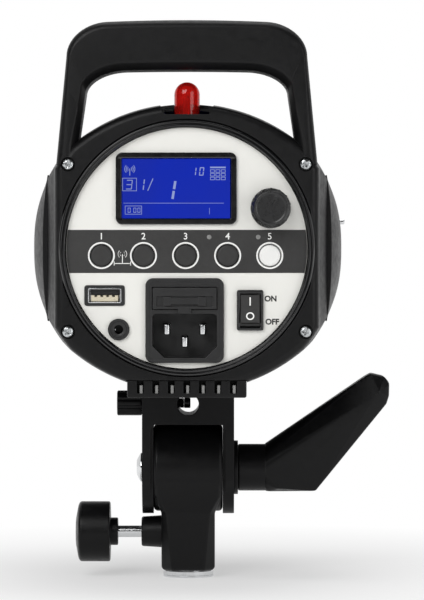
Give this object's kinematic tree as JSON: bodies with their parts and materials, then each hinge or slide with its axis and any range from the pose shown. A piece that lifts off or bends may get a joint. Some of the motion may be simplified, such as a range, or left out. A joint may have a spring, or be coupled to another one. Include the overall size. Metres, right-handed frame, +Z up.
{
  "type": "monolight strobe",
  "caption": "Compact studio flash head with a carrying handle, a rear control panel and display, a round modifier mount at the front and a tilting stand bracket with a locking lever.",
  "frame": {"origin": "centre of the stand socket's mouth, on the socket's axis", "axes": "+Z up along the socket, +Y along the lamp towards its front, +X to the right as seen from the rear panel"},
  "size_m": [0.1451, 0.2121, 0.2244],
  "materials": {
    "black_housing": "fine texture, satin",
    "black_casting": "satin black paint",
    "black_knob": "fine texture, satin",
    "black_button": "matte",
    "gloss_black": "polished",
    "panel_film": "satin film",
    "blue_screen": "lit display behind clear plastic",
    "white_button": "satin",
    "white_plastic": "satin",
    "red_lens": "clear, polished",
    "steel": "polished",
    "zinc": "plated",
    "brass": "turned",
    "aluminium": "satin",
    "circuit_board": "solder resist",
    "capacitor_sleeve": "shrink sleeve",
    "clear_glass": "clear",
    "lamp_glass": "frosted"
  },
  "bodies": {
    "stand_bracket": {"tilt_head": "black_casting", "socket_liner": "steel"},
    "clamp_pad": {"clamp_pad": "brass"},
    "clamp_knob": {"clamp_screw": "steel", "clamp_knob": "black_knob"},
    "lamp": {"yoke": "black_casting", "tilt_bolt": "steel", "lever_washer": "black_knob", "foot_plate": "black_housing", "top_shell": "black_housing", "bottom_shell": "black_housing", "right_side_cover": "black_housing", "left_side_cover": "black_housing", "rear_frame": "black_housing", "frame_screw_1": "zinc", "frame_screw_2": "zinc", "frame_screw_3": "zinc", "frame_screw_4": "zinc", "retaining_ring": "gloss_black", "rear_panel": "panel_film", "lcd_bezel": "gloss_black", "lcd_module": "blue_screen", "encoder_body": "zinc", "usb_shell": "steel", "usb_tongue": "white_plastic", "sync_jack": "black_button", "inlet_housing": "black_button", "line_pin": "steel", "neutral_pin": "steel", "earth_pin": "steel", "rocker_housing": "gloss_black", "slave_dome": "red_lens", "front_housing": "black_housing", "reflector_plate": "aluminium", "bayonet_ring": "aluminium", "lamp_socket": "white_plastic", "modelling_lamp": "lamp_glass", "flash_tube": "lamp_glass", "control_board": "circuit_board", "chassis": "aluminium", "power_board": "circuit_board", "flash_capacitor": "capacitor_sleeve", "fan_frame": "black_button"},
    "lever_hub": {"lever_hub": "zinc"},
    "tilt_lever": {"tilt_lever": "black_knob"},
    "umbrella_pad": {"umbrella_pad": "brass"},
    "umbrella_knob": {"umbrella_screw": "steel", "umbrella_knob": "black_knob"},
    "set_shaft": {"set_shaft": "steel"},
    "set_knob": {"set_knob": "black_button"},
    "button_1": {"button_1": "black_button"},
    "button_2": {"button_2": "black_button"},
    "button_3": {"button_3": "black_button"},
    "button_4": {"button_4": "black_button"},
    "button_5": {"button_5": "white_button"},
    "power_rocker": {"power_rocker": "black_button"},
    "fuse_drawer": {"fuse_drawer": "black_button", "fuse": "clear_glass"},
    "fan_impeller": {"fan_impeller": "black_button"},
    "lock_pin": {"lock_pin": "steel"}
  },
  "joints": [
    {"name": "tilt", "type": "hinge", "parent": "stand_bracket", "child": "lamp", "pos_m": [0, 0, 0.045], "axis": [1, 0, 0], "range_deg": [-90, 90]},
    {"name": "clamp_travel", "type": "slide", "parent": "stand_bracket", "child": "clamp_pad", "axis": [1, 0, 0], "range_m": [-0.002, 0.006]},
    {"name": "clamp_turn", "type": "hinge", "parent": "clamp_pad", "child": "clamp_knob", "pos_m": [0, 0, 0.0185], "axis": [1, 0, 0], "range_deg": [-901, 2703]},
    {"name": "lever_turn", "type": "hinge", "parent": "lamp", "child": "lever_hub", "pos_m": [0, 0, 0.045], "axis": [1, 0, 0], "range_deg": [-90, 90]},
    {"name": "lever_lift", "type": "slide", "parent": "lever_hub", "child": "tilt_lever", "axis": [1, 0, 0], "range_m": [0, 0.0035], "stiffness_N_per_m": 1500},
    {"name": "umbrella_travel", "type": "slide", "parent": "lamp", "child": "umbrella_pad", "axis": [1, 0, 0], "range_m": [-0.006, 0]},
    {"name": "umbrella_turn", "type": "hinge", "parent": "umbrella_pad", "child": "umbrella_knob", "pos_m": [0, 0, 0.0716], "axis": [1, 0, 0], "range_deg": [-2703, 1]},
    {"name": "set_push", "type": "slide", "parent": "lamp", "child": "set_shaft", "axis": [0, 1, 0], "range_m": [0, 0.0008], "stiffness_N_per_m": 800},
    {"name": "set_turn", "type": "hinge", "parent": "set_shaft", "child": "set_knob", "pos_m": [0.0326, -0.085, 0.15107], "axis": [0, 1, 0], "continuous": true},
    {"name": "button_1_press", "type": "slide", "parent": "lamp", "child": "button_1", "axis": [0, 1, 0], "range_m": [0, 0.0008], "stiffness_N_per_m": 600},
    {"name": "button_2_press", "type": "slide", "parent": "lamp", "child": "button_2", "axis": [0, 1, 0], "range_m": [0, 0.0008], "stiffness_N_per_m": 600},
    {"name": "button_3_press", "type": "slide", "parent": "lamp", "child": "button_3", "axis": [0, 1, 0], "range_m": [0, 0.0008], "stiffness_N_per_m": 600},
    {"name": "button_4_press", "type": "slide", "parent": "lamp", "child": "button_4", "axis": [0, 1, 0], "range_m": [0, 0.0008], "stiffness_N_per_m": 600},
    {"name": "button_5_press", "type": "slide", "parent": "lamp", "child": "button_5", "axis": [0, 1, 0], "range_m": [0, 0.0008], "stiffness_N_per_m": 600},
    {"name": "power_switch", "type": "hinge", "parent": "lamp", "child": "power_rocker", "pos_m": [0.02465, -0.0774, 0.11137], "axis": [1, 0, 0], "range_deg": [0, 20]},
    {"name": "fuse_drawer_slide", "type": "slide", "parent": "lamp", "child": "fuse_drawer", "axis": [0, -1, 0], "range_m": [0, 0.016]},
    {"name": "fan_spin", "type": "hinge", "parent": "lamp", "child": "fan_impeller", "pos_m": [0, -0.038, 0.13487], "axis": [0, 1, 0], "continuous": true},
    {"name": "lock_pull", "type": "slide", "parent": "lamp", "child": "lock_pin", "axis": [0, -1, 0], "range_m": [0, 0.005], "stiffness_N_per_m": 400}
  ],
  "couplings": [
    {"joint": "clamp_turn", "follows": "clamp_travel", "rad_per_m": 7854},
    {"joint": "umbrella_turn", "follows": "umbrella_travel", "rad_per_m": 7854}
  ]
}
